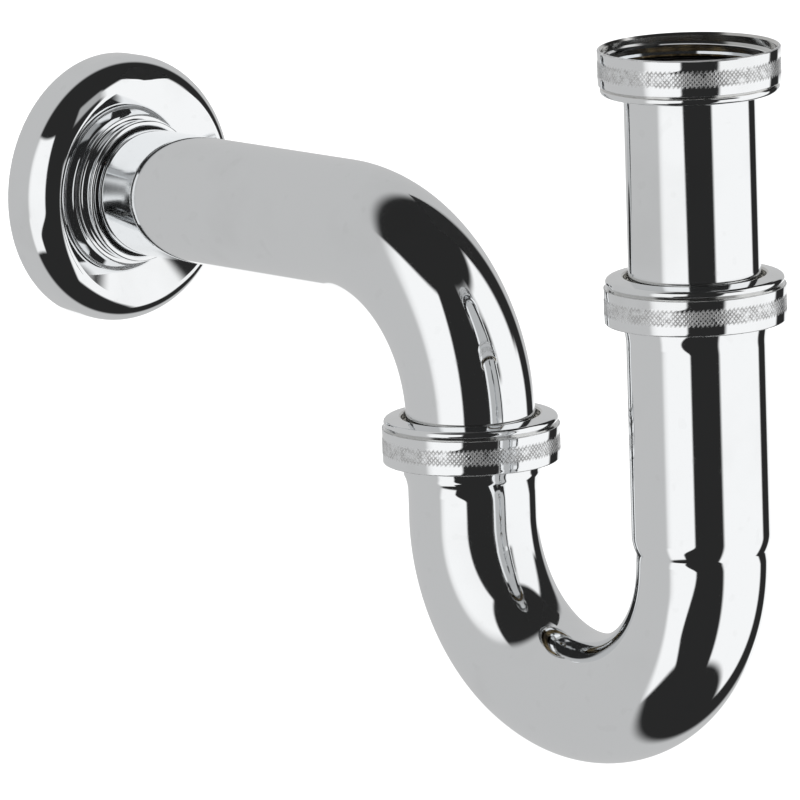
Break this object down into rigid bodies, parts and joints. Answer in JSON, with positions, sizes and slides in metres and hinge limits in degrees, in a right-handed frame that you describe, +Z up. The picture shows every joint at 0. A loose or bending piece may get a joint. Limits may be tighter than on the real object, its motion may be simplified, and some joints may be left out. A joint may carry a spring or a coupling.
{
  "type": "p trap",
  "caption": "Chromed brass P-trap for a wash basin: adjustable U-bend with knurled slip nuts, inlet tube, wall bend and wall flange.",
  "frame": {"origin": "on the wall plane, at the axis of the wall tube: the middle of the flange's back edge", "axes": "+X out of the wall along the wall tube, +Z up along both trap legs, Y across"},
  "size_m": [0.249, 0.068, 0.181],
  "materials": {
    "chromed_tube": "polished",
    "chromed_nut": "polished",
    "chromed_flange": "polished",
    "raw_brass": "satin",
    "black_rubber": "matte",
    "white_ring": "satin"
  },
  "bodies": {
    "wall_tube": {"wall_bend": "chromed_tube"},
    "flange": {"wall_flange": "chromed_flange", "flange_grip_ring": "black_rubber"},
    "outlet_joint": {"outlet_cone_seal": "black_rubber"},
    "trap": {"trap_bend": "chromed_tube", "inlet_thread_ring": "raw_brass", "outlet_thread_ring": "raw_brass"},
    "outlet_ring": {"outlet_slip_ring": "white_ring"},
    "outlet_nut": {"outlet_slip_nut": "chromed_nut"},
    "inlet_joint": {"inlet_cone_seal": "black_rubber"},
    "inlet": {"inlet_tube": "chromed_tube", "inlet_washer": "black_rubber"},
    "basin_nut": {"coupling_nut": "chromed_nut"},
    "inlet_ring": {"inlet_slip_ring": "white_ring"},
    "inlet_nut": {"inlet_slip_nut": "chromed_nut"}
  },
  "joints": [
    {"name": "flange_slide", "type": "slide", "parent": "wall_tube", "child": "flange", "axis": [1, 0, 0], "range_m": [0, 0.07]},
    {"name": "outlet_adjust", "type": "slide", "parent": "wall_tube", "child": "outlet_joint", "axis": [0, 0, 1], "range_m": [-0.004, 0]},
    {"name": "trap_swivel", "type": "hinge", "parent": "outlet_joint", "child": "trap", "pos_m": [0.132, 0, -0.05], "axis": [0, 0, 1], "range_deg": [-120, 120]},
    {"name": "outlet_nut_turn", "type": "hinge", "parent": "outlet_ring", "child": "outlet_nut", "pos_m": [0.132, 0, -0.05], "axis": [0, 0, 1], "range_deg": [0, 720]},
    {"name": "outlet_nut_travel", "type": "slide", "parent": "trap", "child": "outlet_ring", "axis": [0, 0, 1], "range_m": [0, 0.0047]},
    {"name": "inlet_swivel", "type": "hinge", "parent": "trap", "child": "inlet_joint", "pos_m": [0.212, 0, 0], "axis": [0, 0, 1], "continuous": true},
    {"name": "height_adjust", "type": "slide", "parent": "inlet_joint", "child": "inlet", "axis": [0, 0, 1], "range_m": [-0.026, 0.015]},
    {"name": "coupling_nut_spin", "type": "hinge", "parent": "inlet", "child": "basin_nut", "pos_m": [0.212, 0, 0.05], "axis": [0, 0, 1], "continuous": true},
    {"name": "inlet_nut_turn", "type": "hinge", "parent": "inlet_ring", "child": "inlet_nut", "pos_m": [0.212, 0, 0], "axis": [0, 0, 1], "range_deg": [0, 720]},
    {"name": "inlet_nut_travel", "type": "slide", "parent": "trap", "child": "inlet_ring", "axis": [0, 0, 1], "range_m": [0, 0.0047]}
  ],
  "couplings": [
    {"joint": "outlet_nut_travel", "follows": "outlet_nut_turn", "m_per_rad": 0.00036749},
    {"joint": "inlet_nut_travel", "follows": "inlet_nut_turn", "m_per_rad": 0.00036749}
  ]
}
